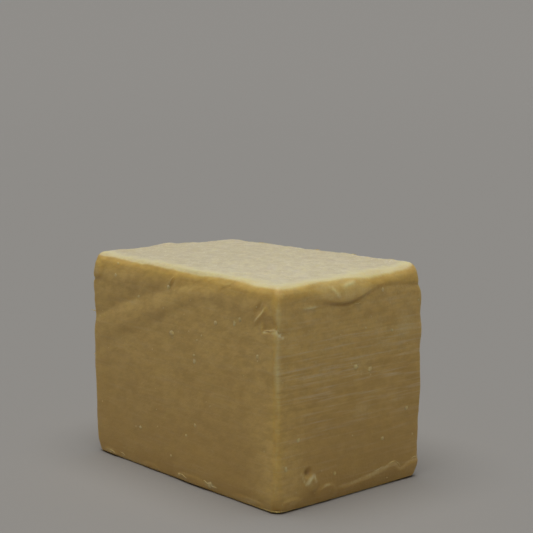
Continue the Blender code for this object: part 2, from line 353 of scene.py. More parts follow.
def rounding(x, y, z):
    """Reach of the rounding along X, Y and Z: each rim's own near the top, and the worn feet."""
    sides = np.stack([-y / DEPTH, y / DEPTH, x / LENGTH, -x / LENGTH]) + 0.5
    nearness = sides**RIMS_MEET
    nearness /= nearness.sum(axis=0)
    rims = [through(FRONT_RIM_ROUND, x), BACK_RIM_ROUND, through(END_RIM_ROUND, y), LEFT_RIM_ROUND]
    rim = sum(near * size for near, size in zip(nearness, rims))
    deep = sum(near * size for near, size in zip(nearness, RIMS_DEEP))
    at_top = ease(z, HEIGHT - TOP_ROUND_STARTS, HEIGHT - TOP_ROUND_FULL)
    short_wave, long_wave = UPRIGHT_WAVES
    uneven = UPRIGHT_UNEVEN * (np.sin(z / short_wave + x) + np.sin(z / long_wave + y)) / 2
    upright = UPRIGHT_ROUND + (1 - at_top) * uneven + (rim - UPRIGHT_ROUND) * at_top
    plan = upright.copy()
    for side_x, side_y, extra, high in WORN_FEET:
        from_edge = np.hypot(side_x * LENGTH / 2 - x, side_y * DEPTH / 2 - y)
        plan += extra * np.exp(-((from_edge / WORN_FOOT_REACH) ** 2) - (z / high) ** 2)
    return np.stack([plan, plan, np.where(z < HEIGHT / 2, BASE_ROUND, deep)], axis=1)


def rounded(points):
    """The box's points drawn in onto its rounded form, with the way out at each.

    The core is the box less one rounding. A point goes to its nearest place on the core plus
    one rounding along the direction it came from.
    """
    half = np.array([LENGTH, DEPTH, HEIGHT]) / 2
    middle = np.array([0, 0, HEIGHT / 2])
    reach = rounding(*points.T)
    core = np.clip(points - middle, reach - half, half - reach)
    out = (points - middle - core) / reach
    out /= np.linalg.norm(out, axis=1, keepdims=True)
    way_out = out / reach
    way_out /= np.linalg.norm(way_out, axis=1, keepdims=True)
    return middle + core + reach * out, way_out


def bent_net(points):
    """The net with its lines on the end face slid up or down to lie along the lip's border."""
    x, y, z = points.T
    below = ease(z, BEND_LEVEL - BEND_DOWN, BEND_LEVEL)
    above = 1 - ease(z, BEND_LEVEL, BEND_LEVEL + BEND_UP)
    slide = (through(LIP_LINE, y) - BEND_LEVEL) * below * above
    slide *= ease(x, LENGTH / 2 - BEND_BACK, LENGTH / 2)
    return np.stack([x, y, z + slide], axis=1)


def long_face(x, z):
    """Height of the long face: hollow above the fold, terrace, knob, tears and flakes."""
    above_fold = z - through(FOLD_LINE, x)
    below = np.clip(1 + (above_fold - np.hypot(above_fold, FOLD_SOFT)) / 2 / FOLD_WIDE, 0, 1) ** 2
    above = np.exp(-(above_fold + np.hypot(above_fold, FOLD_SOFT)) / 2 / FOLD_FADE)
    height = -through(FOLD_DEPTH, x) * below * above
    from_terrace = z - through(TERRACE_LINE, x)
    dropped = 1 - ease(from_terrace, -TERRACE_SLOPE, TERRACE_SLOPE)
    regained = np.exp(-np.maximum(-from_terrace - TERRACE_SLOPE, 0) / TERRACE_FADE)
    height -= through(TERRACE_DROP, x) * dropped * regained
    height += disc(x, z, KNOB) * ease(x, *KNOB_STARTS)
    height += sum(disc(x, z, shape) for shape in LONG_FACE_DISCS)
    height += sum(stroke(x, z, shape) for shape in LONG_FACE_STROKES)
    height += sum(tear(x, z, shape) for shape in LONG_FACE_TEARS)
    return height


def end_face(y, z):
    """Height of the end face: the crease under the lip, the skirt, discs, strokes and tears."""
    below_lip = (through(LIP_LINE, y) - CREASE_WIDTH - z) / CREASE_WIDTH
    height = -through(LIP_CREASE, y) * np.exp(-(below_lip**2))
    above_skirt = z - through(SKIRT_LINE, y)
    height += SKIRT_OUT * (1 - ease(above_skirt, -SKIRT_BLUNT, 0)) * ease(y, *SKIRT_STARTS)
    height += sum(disc(y, z, shape) for shape in END_FACE_DISCS)
    height += sum(stroke(y, z, shape) for shape in END_FACE_STROKES)
    height += sum(tear(y, z, shape) for shape in END_FACE_TEARS)
    return height


def lip_shift(x, y, z):
    """How far the lip moves a point along X: most just above its border, and less towards the rim."""
    border = through(LIP_LINE, y)
    half_blunt = through(LIP_BLUNT, y) / 2
    near_end = ease(x, LENGTH / 2 - LIP_BACK[0], LENGTH / 2 - LIP_BACK[1])
    out = ease(z, border - half_blunt, border + half_blunt) * near_end
    return through(LIP_OUT, y) * out * (1 - LIP_TAPER * ease(z, border + LIP_TAPER_FROM, HEIGHT))


def top_rise(x, y, z):
    """How far a point is lifted: its share of the four corners' heights, and the rims' rises."""
    rise = np.zeros_like(z)
    for side_x, side_y, high in TOP_CORNERS:
        rise += high * (0.5 + side_x * x / LENGTH) * (0.5 + side_y * y / DEPTH) * z / HEIGHT
    at_top = ease(z, HEIGHT - RIM_RISE_STARTS, HEIGHT - RIM_RISE_FULL)
    rims = (
        (LENGTH / 2 + x, through(LEFT_RIM_RISE, y)),
        (DEPTH / 2 - y, through(BACK_RIM_RISE, x)),
        (DEPTH / 2 + y, through(FRONT_RIM_RISE, x)),
    )
    for from_rim, high in rims:
        rise += high * np.exp(-((from_rim / RIM_RISE_REACH) ** 2)) * at_top
    return rise


def lean(z, down, from_face):
    """A face's share of its lean: a power of the way up to the rim, less farther in from the face."""
    return np.clip(1 - (HEIGHT - z) / down, 0, 1) ** LEAN_POWER * (1 - ease(from_face, 0, LEAN_REACH))


def edge_sway(x, y, z, corner, way, profile):
    """The sideways shift of what lies near one upright edge."""
    from_edge = np.hypot(corner[0] * LENGTH / 2 - x, corner[1] * DEPTH / 2 - y)
    out = through(profile, z) * np.exp(-((from_edge / SWAY_REACH) ** 2))
    return np.stack([way[0] * out, way[1] * out, np.zeros_like(out)], axis=1)


def tucked(x, y, z, front, end):
    """How far a face is drawn in at its foot: its amount there times the square of the way down."""
    amount = front * through(LONG_TUCK, x) + end * through(END_TUCK, y)
    return amount * np.clip(1 - z / TUCK_HIGH, 0, 1) ** 2


def worn_block(points):
    """Every point of the plain box moved to its place on the finished cheese, and the way out there."""
    points, way_out = rounded(bent_net(points))
    x, y, z = points.T
    front, back = ease(-way_out[:, 1], *FACING), ease(way_out[:, 1], *FACING)
    end, left = ease(way_out[:, 0], *FACING), ease(-way_out[:, 0], *FACING)
    top = ease(way_out[:, 2], *FACING)
    height = front * (long_face(x, z) + wave(x, z) + grain(x, z, SIDE_GRAINS))
    height += end * (end_face(y, z) + wave(y + END_WAVES, z) + grain(y + END_GRAIN, z, SIDE_GRAINS))
    height -= tucked(x, y, z, front, end)
    height += back * (wave(x + BACK_WAVES, z) + grain(x + BACK_GRAIN, z, SIDE_GRAINS))
    height += left * (wave(y + LEFT_WAVES, z) + grain(y + LEFT_GRAIN, z, SIDE_GRAINS))
    height += top * (wave(x + TOP_WAVES, y) + grain(x, y, TOP_GRAINS))
    on_edge = 1 - np.max(np.abs(way_out), axis=1) ** 4
    height += on_edge * ease(z, *RIM_GRAINS_FROM) * grain(x + y, z, RIM_GRAINS)
    bulge = BULGE * (1 - (2 * z / HEIGHT - 1) ** 2)
    height += (front + back) * bulge * (1 - (2 * x / LENGTH) ** 2)
    height += (end + left) * bulge * (1 - (2 * y / DEPTH) ** 2)
    level_out = way_out * (1, 1, 0) + np.maximum(way_out, 0) * (0, 0, 1)
    shift = level_out * height[:, None]
    shift[:, 0] += lip_shift(x, y, z) - lean(z, END_LEAN_DOWN, LENGTH / 2 - x) * through(END_LEAN, y)
    shift[:, 1] += lean(z, LONG_LEAN_DOWN, DEPTH / 2 + y) * through(LONG_LEAN, x)
    shift[:, 2] += top_rise(x, y, z)
    shift += edge_sway(x, y, z, (1, 1), BACK_SWAY_WAY, BACK_SWAY)
    shift += edge_sway(x, y, z, (-1, -1), LEFT_SWAY_WAY, LEFT_SWAY)
    return points + shift, way_out


def lines_of(*zones):
    """Where the net is cut: evenly inside each zone, and at the last one's end."""
    parts = [np.linspace(low, high, count, endpoint=False) for low, high, count in zones]
    return np.concatenate([*parts, [zones[-1][1]]])


def box_net(lines_x, lines_y, lines_z):
    """The skin of a box as six grids of two parameters that share their borders.

    The points are the crossings whose line is first or last along an axis, each numbered once.
    A side is the grid of those numbers in one slice, and a quad joins each four neighbours.
    """
    on_skin = np.ones((len(lines_x), len(lines_y), len(lines_z)), bool)
    on_skin[1:-1, 1:-1, 1:-1] = False
    number = np.full(on_skin.shape, -1)
    number[on_skin] = np.arange(on_skin.sum())
    i, j, k = np.nonzero(on_skin)
    facing_out = (number[:, :, -1], number[:, 0, :], number[-1, :, :])
    facing_in = (number[:, :, 0], number[:, -1, :], number[0, :, :])
    quads = []
    for grid in (*facing_out, *(side.T for side in facing_in)):
        corners = (grid[:-1, :-1], grid[1:, :-1], grid[1:, 1:], grid[:-1, 1:])
        quads.append(np.stack(corners, axis=-1).reshape(-1, 4))
    return np.stack([lines_x[i], lines_y[j], lines_z[k]], axis=1), np.concatenate(quads)


def piece_of(name, points, faces, material, values=None):
    """A smooth mesh object at the origin, from arrays of points in metres and of quads or triangles."""
    mesh = bpy.data.meshes.new(name)
    mesh.vertices.add(len(points))
    mesh.vertices.foreach_set("co", points.astype(np.float32).ravel())
    corners = faces.shape[1]
    mesh.loops.add(faces.size)
    mesh.loops.foreach_set("vertex_index", faces.astype(np.int32).ravel())
    mesh.polygons.add(len(faces))
    mesh.polygons.foreach_set("loop_start", np.arange(0, faces.size, corners, dtype=np.int32))
    mesh.update(calc_edges=True)
    mesh.shade_smooth()
    for label, value in (values or {}).items():
        layer = mesh.attributes.new(label, "FLOAT", "POINT")
        layer.data.foreach_set("value", value.astype(np.float32))
    mesh.materials.append(material)
    made = bpy.data.objects.new(name, mesh)
    bpy.context.scene.collection.objects.link(made)
    return made


# What lies paler on the faces, as discs and strokes with the paleness for a height.
LONG_FACE_PALE_DISCS = (
    (-50, 2.0, 7.0, 2.4, 0.22, 0.8),
    (-41, 2.4, 4.0, 2.0, 0.2, 0.8),
    (2, 2.6, 7.0, 2.2, 0.2, 0.9),
    (21, 2.8, 8.0, 2.6, 0.24, 0.9),
    (45, 2.4, 9.0, 3.0, 0.18, 0.9),
    (-58, 83, 5.0, 5.0, 0.18, 0.8),
    (22.5, 17.5, 3.4, 2.6, 0.2, 0.9),
    (36, 84, 26, 8, 0.08, 0.95),
)
LONG_FACE_PALE_STROKES = (
    (54.4, 80.4, 48.4, 74.4, 0.8, 0.3),
    (53.0, 71.0, 57.6, 71.0, 0.5, 0.4),
    (57.8, 71.3, 60.6, 72.6, 0.45, 0.35),
    (-6.9, 81.6, -5.1, 85.0, 0.5, 0.25),
    (27.6, 85.4, 32.2, 87.2, 0.45, 0.15),
    (41.4, 69.2, 35.6, 61.0, 0.5, 0.12),
    (35.6, 61.0, 30.4, 56.0, 0.5, 0.12),
)
END_FACE_PALE_DISCS = (
    (-22.4, 9.0, 3.6, 3.8, 0.2, 0.9),
    (-13.5, 4.6, 6.0, 3.6, 0.08, 0.8),
    (-32, 3.4, 7.0, 2.2, 0.16, 0.9),
    (30, 66, 9.0, 8.0, 0.12, 0.9),
    (6, 34, 12.0, 9.0, 0.1, 0.9),
)
END_FACE_PALE_STROKES = (
    (-40.6, 72.3, -36.4, 69.6, 0.45, 0.5),
    (-10.6, 86.0, -7.2, 81.8, 0.7, 0.25),
    (-4.8, 85.5, 2.8, 86.8, 0.8, 0.3),
    (-26.2, 79.5, -19.8, 79.3, 0.45, 0.2),
    (-28.0, 15.4, -25.4, 10.0, 0.6, 0.3),
    (-25.6, 8.8, -20.9, 13.4, 0.9, 0.34),
    (-21.0, 13.6, -19.3, 9.0, 0.7, 0.34),
    (-18.1, 5.2, -16.1, 7.1, 0.8, 0.16),
    (-16.1, 7.1, -11.1, 7.2, 0.8, 0.24),
    (-11.1, 7.2, -8.7, 5.5, 0.8, 0.16),
)
# Painted highlight down the upright edge between the two faces, in patches: height, paleness.
NEAR_EDGE_PALE = (
    (0, 0.0),
    (8, 0.16),
    (20, 0.17),
    (30, 0.17),
    (42, 0.2),
    (48, 0.26),
    (57, 0.37),
    (66, 0.2),
    (76, 0.32),
    (84, 0.22),
)
NEAR_EDGE_WIDTH = 1.9
# The skirt below its rim, from and to where, and a painted highlight along the rim: how far below,
# width.
SKIRT_PALE, SKIRT_PALE_EDGE = 0.08, (-0.8, 0.2)
SKIRT_RIM_PALE, SKIRT_RIM_DOWN, SKIRT_RIM_WIDTH = 0.13, 0.8, 1.1
# Painted highlight on the lip just above its border: paleness, how far above the border it starts and
# is full, and where along the lip it starts, is full, fades and ends.
LIP_PALE, LIP_PALE_UP, LIP_PALE_ENDS = 0.07, (0.5, 2.0), (-26.0, -16.0, 4.0, 16.0)
# The pale top, partly drier cheese and partly painted sheen, breaks off along its rims where the
# cheese turns down, unevenly, and is paler farther in from the two near rims.
TOP_PALE_TURNS, TOP_PALE_GRAINS = (0.44, 0.8), ((11.0, 0.12, 9), (4.5, 0.04, 10))
TOP_PALE_AT_RIM, TOP_PALE_MORE, TOP_PALE_FROM_RIM = 0.42, 0.43, (1, 14)
END_PALE, END_PALE_HIGH = 0.125, (15, 60)
# Painted shade, deeper in colour: the crease, the pit, the hollow above the fold, a band under the
# rims, the lower part of the faces and their tuck. Also deeper: the faces and the top away from the
# near edge. Beside each share stand the heights or the reach that it fades over.
CREASE_DEEP, CREASE_DEEP_CUT, CREASE_DEEP_DOWN, CREASE_DEEP_WIDTH = 0.65, (0, 0.5), 0.5, 0.8
PIT_DEEP = (-24.3, 14.6, 1.8, 2.2, 0.5, 0.8)
HOLLOW_DEEP, HOLLOW_DEEP_EDGE, HOLLOW_DEEP_FADE = 0.16, (-0.6, 0.6), 7
FACE_DEEP, FACE_DEEP_REACH = 0.1, 22.0
RIM_DEEP, RIM_DEEP_STARTS, RIM_DEEP_ENDS = 0.17, (1.0, 3.0), (4.0, 8.5)
FOOT_DEEP, FOOT_DEEP_HIGH, FOOT_DEEP_FROM = 1.0, (-30, 90), (2, 20)
TUCK_DEEP = 0.85
TOP_DEEP, TOP_DEEP_FROM = 0.9, (15, 110)
# Painted glow: just below the rims and along the near edge the colour is a stronger yellow, for light
# shining through the cheese: the share, how far below the rim it starts and ends, and where it stops
# as the surface turns up.
GOLDEN_RIM, GOLDEN_STARTS, GOLDEN_ENDS, GOLDEN_TURNS = 0.5, (0.0, 1.5), (3.5, 8.0), (0.6, 0.9)
GOLDEN_EDGE, GOLDEN_WIDTH = ((0, 0.3), (20, 0.4), (40, 0.5), (60, 0.2), (80, 0.3)), 3.2
# Fine scrapes: how strong they are all over and at most, and the heights where they are most.
SCRAPED_LEAST, SCRAPED_MOST, SCRAPED_MIDDLE, SCRAPED_HIGH = 0.1, 0.48, 50.0, 22.0
# How far out or up the surface points where a side's colours start and are full, and the top's.
FACING_FIRM, TOP_TURNS = (0.5, 0.9), (0.3, 0.9)


def paleness(points, way_out):
    """How pale the cheese is: 1 on the top, partly dry cheese and partly painted sheen, some as painted
    highlights on the near edge, the skirt's rim and the lip, and some on the skirt and the smears.
    """
    x, y, z = points.T
    from_rim = np.minimum(LENGTH / 2 - x, DEPTH / 2 + y)
    upward = way_out[:, 2] + grain(x - y, z, TOP_PALE_GRAINS)
    inner = TOP_PALE_MORE * ease(from_rim, *TOP_PALE_FROM_RIM)
    top = ease(upward, *TOP_PALE_TURNS) * (TOP_PALE_AT_RIM + inner)
    front, end = ease(-way_out[:, 1], *FACING_FIRM), ease(way_out[:, 0], *FACING_FIRM)
    on_front = sum(disc(x, z, shape) for shape in LONG_FACE_PALE_DISCS)
    on_front += sum(stroke(x, z, shape) for shape in LONG_FACE_PALE_STROKES)
    above_skirt = z - through(SKIRT_LINE, y)
    skirt = SKIRT_PALE * (1 - ease(above_skirt, *SKIRT_PALE_EDGE))
    skirt += SKIRT_RIM_PALE * np.exp(-(((above_skirt + SKIRT_RIM_DOWN) / SKIRT_RIM_WIDTH) ** 2))
    on_end = skirt * ease(y, *SKIRT_STARTS) + END_PALE * ease(z, *END_PALE_HIGH)
    lip_from, lip_full, lip_fades, lip_to = LIP_PALE_ENDS
    along_lip = ease(y, lip_from, lip_full) * (1 - ease(y, lip_fades, lip_to))
    on_end += LIP_PALE * along_lip * ease(z - through(LIP_LINE, y), *LIP_PALE_UP)
    on_end += sum(disc(y, z, shape) for shape in END_FACE_PALE_DISCS)
    on_end += sum(stroke(y, z, shape) for shape in END_FACE_PALE_STROKES)
    from_edge = np.hypot(LENGTH / 2 - x, DEPTH / 2 + y) / NEAR_EDGE_WIDTH
    edge = through(NEAR_EDGE_PALE, z) * np.exp(-(from_edge**2))
    return np.clip(top + edge + front * on_front + end * on_end, 0, 1)


def painted_shade_and_darkening(points, way_out):
    """How deep the colour is: painted shade in the crease, the pit, the hollow, under the rims and
    along the foot, and deeper away from the near edge.
    """
    x, y, z = points.T
    front, end = ease(-way_out[:, 1], *FACING_FIRM), ease(way_out[:, 0], *FACING_FIRM)
    # Painted shade in the crease under the lip, in the pit and in the hollow above the fold.
    below_lip = (through(LIP_LINE, y) - CREASE_DEEP_DOWN - z) / CREASE_DEEP_WIDTH
    cut_in = ease(through(LIP_CREASE, y), *CREASE_DEEP_CUT)
    in_crease = CREASE_DEEP * cut_in * np.exp(-(below_lip**2))
    in_crease += disc(y, z, PIT_DEEP)
    above_fold = z - through(FOLD_LINE, x)
    in_hollow = HOLLOW_DEEP * through(FOLD_DEPTH, x) * ease(above_fold, *HOLLOW_DEEP_EDGE)
    in_hollow *= np.exp(-above_fold / HOLLOW_DEEP_FADE)
    deep = end * in_crease + front * np.clip(in_hollow, 0, 1)
    from_edge = np.hypot(LENGTH / 2 - x, DEPTH / 2 + y)
    side = 1 - ease(way_out[:, 2], *TOP_TURNS)
    below_rim = HEIGHT - z
    # Deeper away from the near edge on the faces and the top; painted shade under the rims, along the
    # foot and in its tuck.
    deep += side * FACE_DEEP * (1 - np.exp(-((from_edge / FACE_DEEP_REACH) ** 2)))
    deep += side * RIM_DEEP * ease(below_rim, *RIM_DEEP_STARTS) * (1 - ease(below_rim, *RIM_DEEP_ENDS))
    deep += side * FOOT_DEEP * (1 - ease(z, *FOOT_DEEP_HIGH)) * ease(from_edge, *FOOT_DEEP_FROM)
    deep += TUCK_DEEP * tucked(x, y, z, front, end)
    deep += (1 - side) * TOP_DEEP * ease(from_edge, *TOP_DEEP_FROM)
    return np.clip(deep, 0, 1)


def painted_glow_share(points, way_out):
    """How strong the painted yellow glow is: most just below the rims, some along the near edge."""
    x, y, z = points.T
    below_rim = HEIGHT - z
    rim = GOLDEN_RIM * ease(below_rim, *GOLDEN_STARTS) * (1 - ease(below_rim, *GOLDEN_ENDS))
    from_edge = np.hypot(LENGTH / 2 - x, DEPTH / 2 + y) / GOLDEN_WIDTH
    edge = through(GOLDEN_EDGE, z) * np.exp(-(from_edge**2))
    return np.clip(rim + edge, 0, 1) * (1 - ease(way_out[:, 2], *GOLDEN_TURNS))


def scraping(points, way_out):
    """How much fine scrapes show: most across the middle of the end face, a little elsewhere."""
    x, y, z = points.T
    side = 1 - ease(way_out[:, 2], *TOP_TURNS)
    band = np.exp(-(((z - SCRAPED_MIDDLE) / SCRAPED_HIGH) ** 2))
    on_end = ease(way_out[:, 0], *FACING_FIRM) * band
    return side * (SCRAPED_LEAST + (SCRAPED_MOST - SCRAPED_LEAST) * on_end)


# The deep cut colour also carries painted shade, the dry colour painted highlights, the bloom colour
# painted sheen on the top, and the golden tint a painted glow.
CUT_COLOUR = (0.81, 0.57, 0.192, 1)
CUT_DEEP_AND_SHADE_COLOUR = (0.54, 0.335, 0.096, 1)
DRY_AND_HIGHLIGHT_COLOUR = (0.91, 0.81, 0.455, 1)
BLOOM_AND_SHEEN_COLOUR = (0.88, 0.79, 0.55, 1)
DULL_COLOUR = (0.70, 0.60, 0.385, 1)
SPECK_COLOUR = (0.95, 0.88, 0.68, 1)
SCRAPED_COLOUR = (0.80, 0.70, 0.50, 1)
PAINTED_GLOW_TINT = (1.0, 0.98, 0.68, 1)
SCATTER_SHARE, SCATTER_DEPTH, SCATTER_RADIUS = 0.8, 0.0026, (1.0, 0.92, 0.5)
CHEESE_IOR, BUMP_DEPTH = 1.45, 0.00022
# Roughness of the smoothest and the roughest freckles, and what dryness adds.
ROUGH_LEAST, ROUGH_MOST, ROUGH_DRY = 0.40, 0.58, 0.08
# Noise over the cheese: how many to the metre, detail, roughness.
PATCHES, CURDS, FRECKLES = (190, 4, 0.62), (380, 3, 0.55), (900, 3, 0.65)
BLOTCHES, FINE_GRAIN, SCRAPES = (200, 8, 0.75), (2600, 2, 0.6), (42.0, 3.0, 0.6)
# How the blade drew some of it out: the patches' turn and stretch, and the scrapes' turn and how
# many times closer they lie.
DRAG_TURN, DRAG_STRETCH = (0, -0.2, 0), (1.8, 1.8, 0.9)
SCRAPE_TURN, SCRAPE_CLOSER = (0.015, 0, 0), (1, 1, 26)


def wired(tree, kind, inputs=(), **settings):
    """A shader node with its settings, and each input wired to an output or set to a value."""
    node = tree.nodes.new(kind)
    for name, value in settings.items():
        setattr(node, name, value)
    for socket, value in inputs:
        if isinstance(value, bpy.types.NodeSocket):
            tree.links.new(value, node.inputs[socket])
        else:
            node.inputs[socket].default_value = value
    return node


def cheddar_material(name, scatter_depth):
    """Cut cheddar: straw yellow, mottled by its pressed curds, and pale where the mesh says so, partly
    dry cheese and partly painted highlight and sheen; painted shade and a painted yellow glow also come
    from the mesh.
    """
    material = bpy.data.materials.new(name)
    material.use_nodes = True
    tree = material.node_tree
    shader = tree.nodes["Principled BSDF"]
    place = wired(tree, "ShaderNodeTexCoord").outputs["Object"]

    def look(label):
        return wired(tree, "ShaderNodeAttribute", attribute_name=label).outputs["Fac"]

    def mapped(turn, size, kind):
        inputs = (("Vector", place), ("Rotation", turn), ("Scale", size))
        return wired(tree, "ShaderNodeMapping", inputs, vector_type=kind).outputs["Vector"]

    def noise(scale, detail, roughness, at=place):
        inputs = (("Vector", at), ("Scale", scale), ("Detail", detail), ("Roughness", roughness))
        return wired(tree, "ShaderNodeTexNoise", inputs).outputs["Fac"]

    def spread(value, low, high, to_low, to_high):
        ends = (("From Min", low), ("From Max", high), ("To Min", to_low), ("To Max", to_high))
        return wired(tree, "ShaderNodeMapRange", (("Value", value), *ends)).outputs["Result"]

    def maths(operation, first, second):
        node = wired(tree, "ShaderNodeMath", ((0, first), (1, second)), operation=operation)
        return node.outputs["Value"]

    def blend(share, first, second, blend_type="MIX"):
        node = wired(tree, "ShaderNodeMix", data_type="RGBA", blend_type=blend_type)
        for socket, value in (("Factor", share), ("A", first), ("B", second)):
            found = [s for s in node.inputs if s.name == socket and s.enabled][0]
            if isinstance(value, bpy.types.NodeSocket):
                tree.links.new(value, found)
            else:
                found.default_value = value
        return [s for s in node.outputs if s.enabled][0]

    # Pressed curds show as soft patches 3 to 8 mm across, drawn out a little by the blade, with
    # finer freckles inside them. A spread takes a range of noise to a range of shares.
    pale, deep, painted_glow, scraped = look("pale"), look("deep"), look("painted_glow"), look("scraped")
    dragged = mapped(DRAG_TURN, DRAG_STRETCH, "TEXTURE")
    patches, curds = noise(*PATCHES, dragged), noise(*CURDS, dragged)
    blotches, freckles, fine = noise(*BLOTCHES), noise(*FRECKLES), noise(*FINE_GRAIN)
    cut = blend(spread(patches, 0.36, 0.64, 0, 0.36), CUT_COLOUR, CUT_DEEP_AND_SHADE_COLOUR)
    cut = blend(spread(curds, 0.42, 0.66, 0, 0.3), cut, CUT_DEEP_AND_SHADE_COLOUR)
    cut = blend(spread(freckles, 0.55, 0.75, 0, 0.12), cut, DRY_AND_HIGHLIGHT_COLOUR)
    # Painted shade: the deep attribute draws the colour towards the deep cut colour.
    cut = blend(maths("MULTIPLY", deep, 0.8), cut, CUT_DEEP_AND_SHADE_COLOUR)
    # Paleness, partly dry cheese and partly painted highlight and sheen, is broken up by noise. Cut
    # cheese is 0, dry cheese 0.5 and bloom 1.
    broken = maths("ADD", pale, spread(curds, 0.3, 0.7, -0.06, 0.06))
    broken = maths("ADD", broken, spread(freckles, 0.3, 0.7, -0.04, 0.04))
    broken = maths("ADD", broken, spread(patches, 0.3, 0.7, 0.06, -0.06))
    colour = blend(spread(broken, 0.12, 0.55, 0, 1), cut, DRY_AND_HIGHLIGHT_COLOUR)
    colour = blend(spread(broken, 0.55, 0.95, 0, 1), colour, BLOOM_AND_SHEEN_COLOUR)
    # The pale top is dulled by blotches, and more where the deep attribute deepens it.
    dulled = maths("ADD", spread(blotches, 0.36, 0.66, 0, 0.95), maths("MULTIPLY", deep, 0.5))
    dulled = maths("MULTIPLY", dulled, spread(pale, 0.4, 0.8, 0, 1))
    colour = blend(dulled, colour, DULL_COLOUR)
    specks = maths("MULTIPLY", spread(freckles, 0.56, 0.68, 0, 0.7), spread(pale, 0.4, 0.8, 0, 1))
    colour = blend(specks, colour, SPECK_COLOUR)
    # Painted glow: a stronger yellow just below the rims and along the near edge.
    colour = blend(painted_glow, colour, PAINTED_GLOW_TINT, "MULTIPLY")
    # Long scrapes: noise drawn out level along the faces, so that it shows as pale fine lines.
    drawn = noise(*SCRAPES, mapped(SCRAPE_TURN, SCRAPE_CLOSER, "POINT"))
    lines = maths("MULTIPLY", spread(drawn, 0.52, 0.72, 0, 1), scraped)
    colour = blend(lines, colour, SCRAPED_COLOUR)
    dark_lines = maths("MULTIPLY", spread(drawn, 0.46, 0.28, 0, 1), scraped)
    colour = blend(dark_lines, colour, CUT_DEEP_AND_SHADE_COLOUR)
    tree.links.new(colour, shader.inputs["Base Color"])

    uneven_rough = spread(freckles, 0.3, 0.7, ROUGH_LEAST, ROUGH_MOST)
    rough = maths("ADD", uneven_rough, maths("MULTIPLY", pale, ROUGH_DRY))
    tree.links.new(rough, shader.inputs["Roughness"])

    # Relief too fine for the mesh: freckles, a finer grain, and the scrapes.
    relief = maths("MULTIPLY", freckles, spread(pale, 0.2, 0.9, 0.55, 1.1))
    relief = maths("ADD", relief, maths("MULTIPLY", fine, 0.25))
    relief = maths("ADD", relief, maths("MULTIPLY", drawn, scraped))
    bump_inputs = (("Height", relief), ("Distance", BUMP_DEPTH), ("Strength", 1.0))
    bump = wired(tree, "ShaderNodeBump", bump_inputs)
    tree.links.new(bump.outputs["Normal"], shader.inputs["Normal"])
    shader.inputs["Subsurface Weight"].default_value = SCATTER_SHARE
    shader.inputs["Subsurface Scale"].default_value = scatter_depth
    shader.inputs["Subsurface Radius"].default_value = SCATTER_RADIUS
    shader.inputs["IOR"].default_value = CHEESE_IOR
    return material


# The net's lines are closest at the rims and edges, at the near end, and along the foot, the fold
# and the lip. Each zone is a start, an end and its number of strips.
EDGE = 4.0
net_points, net_quads = box_net(
    lines_of(
        (-LENGTH / 2, EDGE - LENGTH / 2, 11),
        (EDGE - LENGTH / 2, 44.0, 104),
        (44.0, LENGTH / 2 - EDGE, 22),
        (LENGTH / 2 - EDGE, LENGTH / 2, 13),
    ),
    lines_of(
        (-DEPTH / 2, EDGE - DEPTH / 2, 12),
        (EDGE - DEPTH / 2, DEPTH / 2 - EDGE, 78),
        (DEPTH / 2 - EDGE, DEPTH / 2, 10),
    ),
    lines_of(
        (0, 2.0, 5),
        (2.0, 12.0, 18),
        (12.0, 56.0, 48),
        (56.0, 76.0, 25),
        (76.0, 80.4, 7),
        (80.4, 82.4, 9),
        (82.4, HEIGHT - EDGE, 5),
        (HEIGHT - EDGE, HEIGHT, 13),
    ),
)
cheese_points, cheese_out = worn_block(net_points)
# The looks: pale, with painted highlights and sheen; deep, with painted shade; scraped; and the painted
# glow.
cheese_looks = {
    "pale": paleness(cheese_points, cheese_out),
    "deep": painted_shade_and_darkening(cheese_points, cheese_out),
    "scraped": scraping(cheese_points, cheese_out),
    "painted_glow": painted_glow_share(cheese_points, cheese_out),
}
# The finished block's own box is centred on the solid's.
CENTRE = (cheese_points.min(axis=0) + cheese_points.max(axis=0)) / 2 - (cad_low + cad_high) / 2
CENTRE[2] = 0
cheese_skin = cheddar_material("cheddar", SCATTER_DEPTH)
cheese = piece_of("cheese", (cheese_points - CENTRE) * METRES, net_quads, cheese_skin, cheese_looks)
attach(cheese, "root")
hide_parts("cheddar_block")


# Crumbs. The blade left small grains and white specks of cheese stuck to the cut faces.
# Each is an uneven ball, pressed flat and half sunk in the face, and all of them are one mesh.

CRUMBS_ON_LONG_FACE = (
    (-44.2, 86.0, 0.6),
    (-44.4, 81.0, 0.5),
    (-4.2, 62.0, 0.9),
    (-4.4, 60.4, 0.6),
    (11.0, 52.8, 0.75),
    (10.8, 55.2, 0.45),
    (24.0, 70.4, 0.7),
    (35.8, 72.1, 0.8),
    (39.4, 74.2, 0.55),
    (50.1, 61.3, 0.55),
    (-26.8, 17.4, 0.65),
    (11.3, 26.1, 0.5),
    (-5.1, 9.8, 0.5),
    (0.3, 2.8, 0.6),
    (20.2, 3.3, 0.8),
    (-28.4, 73.9, 0.45),
    (-7.2, 80.6, 0.7),
    (5.4, 20.6, 0.4),
)
CRUMBS_ON_END_FACE = (
    (1.3, 52.6, 0.7),
    (9.6, 50.4, 0.75),
    (9.9, 48.0, 0.4),
    (22.3, 64.4, 0.45),
    (10.1, 71.8, 0.5),
    (-35.5, 18.0, 0.6),
    (-9.3, 11.1, 0.5),
    (31.4, 30.7, 0.5),
    (17.3, 20.5, 0.6),
    (-28.8, 28.3, 0.5),
    (16.8, 79.5, 0.5),
)
STRAY_CRUMBS, STRAY_SMALLEST, STRAY_LARGEST = 120, 0.1, 0.32
STRAY_FROM_FOOT, STRAY_FROM_TOP, STRAY_ALONG = 3, 8, 0.47
CRUMB_SIDES, CRUMB_RINGS = 9, 6
